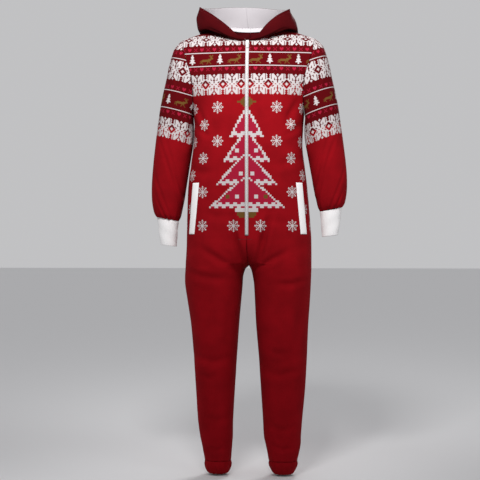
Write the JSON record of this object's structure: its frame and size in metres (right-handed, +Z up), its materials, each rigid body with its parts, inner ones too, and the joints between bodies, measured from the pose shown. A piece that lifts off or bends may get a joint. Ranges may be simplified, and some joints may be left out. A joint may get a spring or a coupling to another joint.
{
  "type": "hooded one-piece pajama",
  "caption": "Hooded full-length one-piece fleece pajama with a front zip, long sleeves, rib wrist cuffs and slanted pocket welts, filled out as if worn with its hood down.",
  "frame": {"origin": "midway between the neck ends of the two shoulder seams, where the wearer's shoulders hold the garment up", "axes": "+Z up along the body, front faces -Y, the wearer's left is +X"},
  "size_m": [0.651, 0.2922, 1.5708],
  "materials": {
    "fleece": "brushed printed fleece",
    "rib": "white rib knit",
    "welt": "white knit",
    "lining": "light grey smooth knit",
    "zip_tape": "woven tape with moulded teeth",
    "zip_slider": "white lacquered slider"
  },
  "bodies": {
    "garment": {"front_left": "fleece", "front_right": "fleece", "back_left": "fleece", "back_right": "fleece", "sleeve_left": "fleece", "sleeve_right": "fleece", "ankle_cuff_left": "fleece", "ankle_cuff_right": "fleece", "hood_left": "fleece", "hood_right": "fleece", "wrist_cuff_left": "rib", "wrist_cuff_right": "rib", "pocket_welt_left": "welt", "pocket_welt_right": "welt", "hood_lining_left": "lining", "hood_lining_right": "lining", "zip_tape_left": "zip_tape", "zip_tape_right": "zip_tape", "zip_slider": "zip_slider"},
    "pull_tab": {"zip_pull": "zip_slider"}
  },
  "joints": [
    {"name": "pull_tab_swing", "type": "hinge", "parent": "garment", "child": "pull_tab", "pos_m": [0, -0.09, -0.06036], "axis": [-1, 0, 0], "range_deg": [0, 150]}
  ]
}
